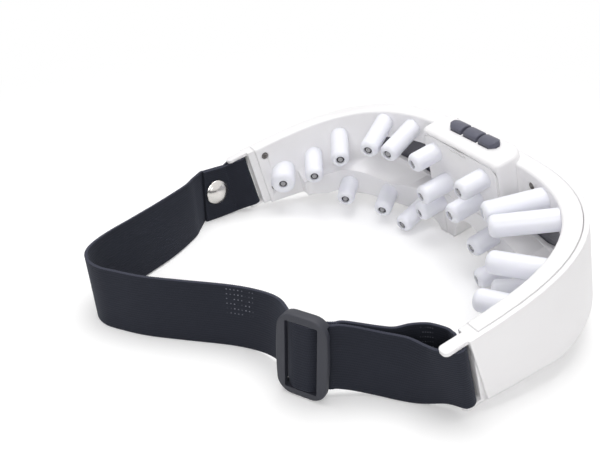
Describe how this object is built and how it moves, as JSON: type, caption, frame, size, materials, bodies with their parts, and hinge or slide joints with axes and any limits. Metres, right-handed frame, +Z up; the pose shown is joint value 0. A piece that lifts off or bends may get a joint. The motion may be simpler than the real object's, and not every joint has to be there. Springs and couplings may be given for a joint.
{
  "type": "eye massager",
  "caption": "Goggle-shaped eye massager lying on its lobes: white two-part mask with magnet-tipped massage fingers, push buttons, battery cover and an elastic head strap with slider.",
  "frame": {"origin": "centre of the bounding box seen from above, at the plane on which the part lies", "axes": "+X to the wearer's right, +Y out through the front of the mask, +Z up"},
  "size_m": [0.1977, 0.2097, 0.0668],
  "materials": {
    "housing": "white, soft gloss",
    "button": "dark slate, matt",
    "finger": "cool white, slightly translucent, satin",
    "slider": "charcoal, fine grain",
    "strap": "navy-black woven elastic with fine lengthwise ribs",
    "rivet": "satin nickel",
    "magnet": "dark grey, plated",
    "lens": "smoked, clear gloss",
    "board": "green solder mask",
    "contact": "nickel plated spring steel",
    "battery": "plain wrapped cell",
    "wire": "insulated wire",
    "motor": "drawn steel can",
    "screw": "zinc plated"
  },
  "bodies": {
    "mask": {"front_shell": "housing", "inner_frame": "housing", "circuit_board": "board", "tact_switches": "contact", "battery_upper": "battery", "battery_lower": "battery", "battery_contacts": "contact", "lens_left": "lens", "lens_right": "lens", "motor_left": "motor", "motor_right": "motor", "motor_wires": "wire", "housing_screws": "screw", "temple_finger_left": "finger", "temple_finger_right": "finger", "brow_finger_1_left": "finger", "brow_finger_2_left": "finger", "brow_finger_3_left": "finger", "brow_finger_4_left": "finger", "brow_finger_1_right": "finger", "brow_finger_2_right": "finger", "brow_finger_3_right": "finger", "brow_finger_4_right": "finger", "cheek_finger_1_left": "finger", "cheek_finger_2_left": "finger", "cheek_finger_3_left": "finger", "cheek_finger_1_right": "finger", "cheek_finger_2_right": "finger", "cheek_finger_3_right": "finger", "nose_finger_left": "finger", "nose_finger_right": "finger", "magnets_left": "magnet", "magnets_right": "magnet", "strap_left": "strap", "strap_woven": "strap", "strap_right": "strap", "strap_return": "strap", "rivet_cap": "rivet", "rivet_post": "rivet"},
    "battery_cover": {"cover_finger_upper_left": "finger", "cover_finger_upper_right": "finger", "cover_finger_lower_left": "finger", "cover_finger_lower_right": "finger", "battery_cover": "housing", "magnets_cover": "magnet"},
    "button_left": {"button_left": "button"},
    "button_middle": {"button_middle": "button"},
    "button_right": {"button_right": "button"},
    "motor_weight_left": {"motor_weight_left": "motor"},
    "motor_weight_right": {"motor_weight_right": "motor"},
    "slider": {"strap_slider": "slider"}
  },
  "joints": [
    {"name": "button_left_press", "type": "slide", "parent": "mask", "child": "button_left", "axis": [0, 0.284, -0.9588], "range_m": [0, 0.0008], "stiffness_N_per_m": 700, "springref_m": -0.0008},
    {"name": "button_middle_press", "type": "slide", "parent": "mask", "child": "button_middle", "axis": [0, 0.284, -0.9588], "range_m": [0, 0.0008], "stiffness_N_per_m": 700, "springref_m": -0.0008},
    {"name": "button_right_press", "type": "slide", "parent": "mask", "child": "button_right", "axis": [0, 0.284, -0.9588], "range_m": [0, 0.0008], "stiffness_N_per_m": 700, "springref_m": -0.0008},
    {"name": "battery_cover_pull", "type": "slide", "parent": "mask", "child": "battery_cover", "axis": [0, -0.9588, -0.284], "range_m": [0, 0.04]},
    {"name": "motor_left_spin", "type": "hinge", "parent": "mask", "child": "motor_weight_left", "pos_m": [-0.0765, 0.06198, 0.01811], "axis": [-0.7071, -0.678, -0.2008], "continuous": true},
    {"name": "motor_right_spin", "type": "hinge", "parent": "mask", "child": "motor_weight_right", "pos_m": [0.0765, 0.06198, 0.01811], "axis": [0.7071, -0.678, -0.2008], "continuous": true},
    {"name": "strap_adjust", "type": "slide", "parent": "mask", "child": "slider", "axis": [0.8339, 0.5519, 0], "range_m": [-0.01, 0.01], "deforming": ["strap_woven", "strap_return"]}
  ]
}
